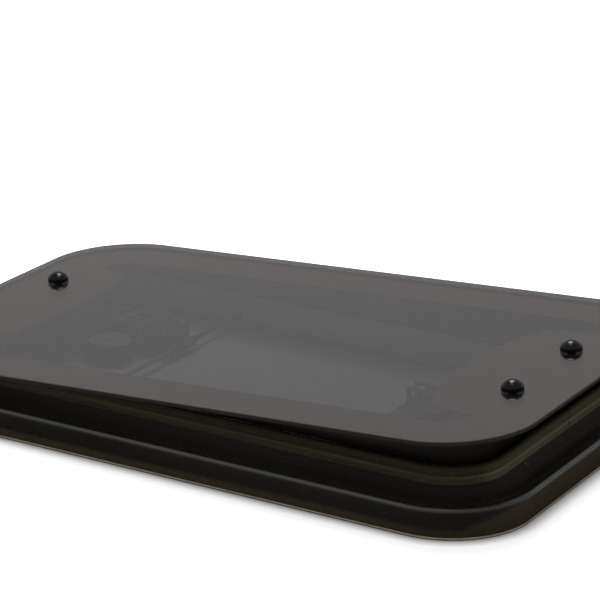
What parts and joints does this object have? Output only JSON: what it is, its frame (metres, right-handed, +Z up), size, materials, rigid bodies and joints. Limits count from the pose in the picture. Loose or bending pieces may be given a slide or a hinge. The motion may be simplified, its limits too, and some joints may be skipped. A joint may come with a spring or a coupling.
{
  "type": "electric roof skylight",
  "caption": "Low roof skylight with a tinted glass pane that a motor tilts up at one end over a black moulded frame with a rubber rim seal.",
  "frame": {"origin": "centre of the frame's underside, on the roof surface", "axes": "+X towards the end that opens, +Y across the skylight, +Z up out of the roof"},
  "size_m": [0.904, 0.548, 0.1327],
  "materials": {
    "tape": "matt foam",
    "frame": "satin moulded",
    "liner": "satin",
    "seal": "matt extruded",
    "bulb": "matt cellular",
    "skirt": "matt moulded",
    "steel": "zinc plated",
    "black_steel": "satin black",
    "housing": "satin",
    "cover": "satin",
    "socket": "satin",
    "red_wire": "smooth",
    "black_wire": "smooth",
    "glass": "tinted, polished",
    "print": "fired enamel on glass",
    "pad": "matt",
    "cap": "gloss"
  },
  "bodies": {
    "frame": {"sealing_tape": "tape", "outer_frame": "frame", "inner_liner": "liner", "rim_seal": "seal", "seal_bulb": "bulb", "hinge_bracket_front": "black_steel", "hinge_bracket_back": "black_steel", "hinge_pin_front": "steel", "hinge_pin_back": "steel", "motor_bracket": "steel", "motor_housing": "housing", "motor_end_cap": "housing", "gear_housing": "housing", "gear_cover": "cover", "cable_block": "housing", "lead_socket": "socket", "red_lead": "red_wire", "black_lead": "black_wire", "drive_tube_front": "steel", "drive_tube_back": "steel", "tube_clips": "housing", "lift_base": "steel", "guide_rail_front": "steel", "guide_rail_back": "steel"},
    "lid": {"glass_pane": "glass", "printed_border": "print", "pane_skirt": "skirt", "bolt_pads": "pad", "hinge_cap_front": "cap", "hinge_cap_back": "cap", "lift_cap_front": "cap", "lift_cap_back": "cap", "hinge_arm_front": "black_steel", "hinge_arm_back": "black_steel", "lift_bracket_front": "black_steel", "lift_bracket_back": "black_steel", "lift_pin_front": "steel", "lift_pin_back": "steel"},
    "lift_arms": {"lift_arm_front": "black_steel", "lift_arm_back": "black_steel", "arm_cross_rod": "steel", "guide_pin_front": "steel", "guide_pin_back": "steel"}
  },
  "joints": [
    {"name": "lid_tilt", "type": "hinge", "parent": "frame", "child": "lid", "pos_m": [-0.395, 0, 0.057], "axis": [0, -1, 0], "range_deg": [-3.6, 2], "deforming": ["seal_bulb"]},
    {"name": "arm_swing", "type": "hinge", "parent": "lid", "child": "lift_arms", "pos_m": [0.35596, 0, 0.09692], "axis": [0, -1, 0], "range_deg": [-11.7, 6.5]}
  ],
  "couplings": [
    {"joint": "arm_swing", "follows": "lid_tilt", "ratio": 3.2238}
  ]
}
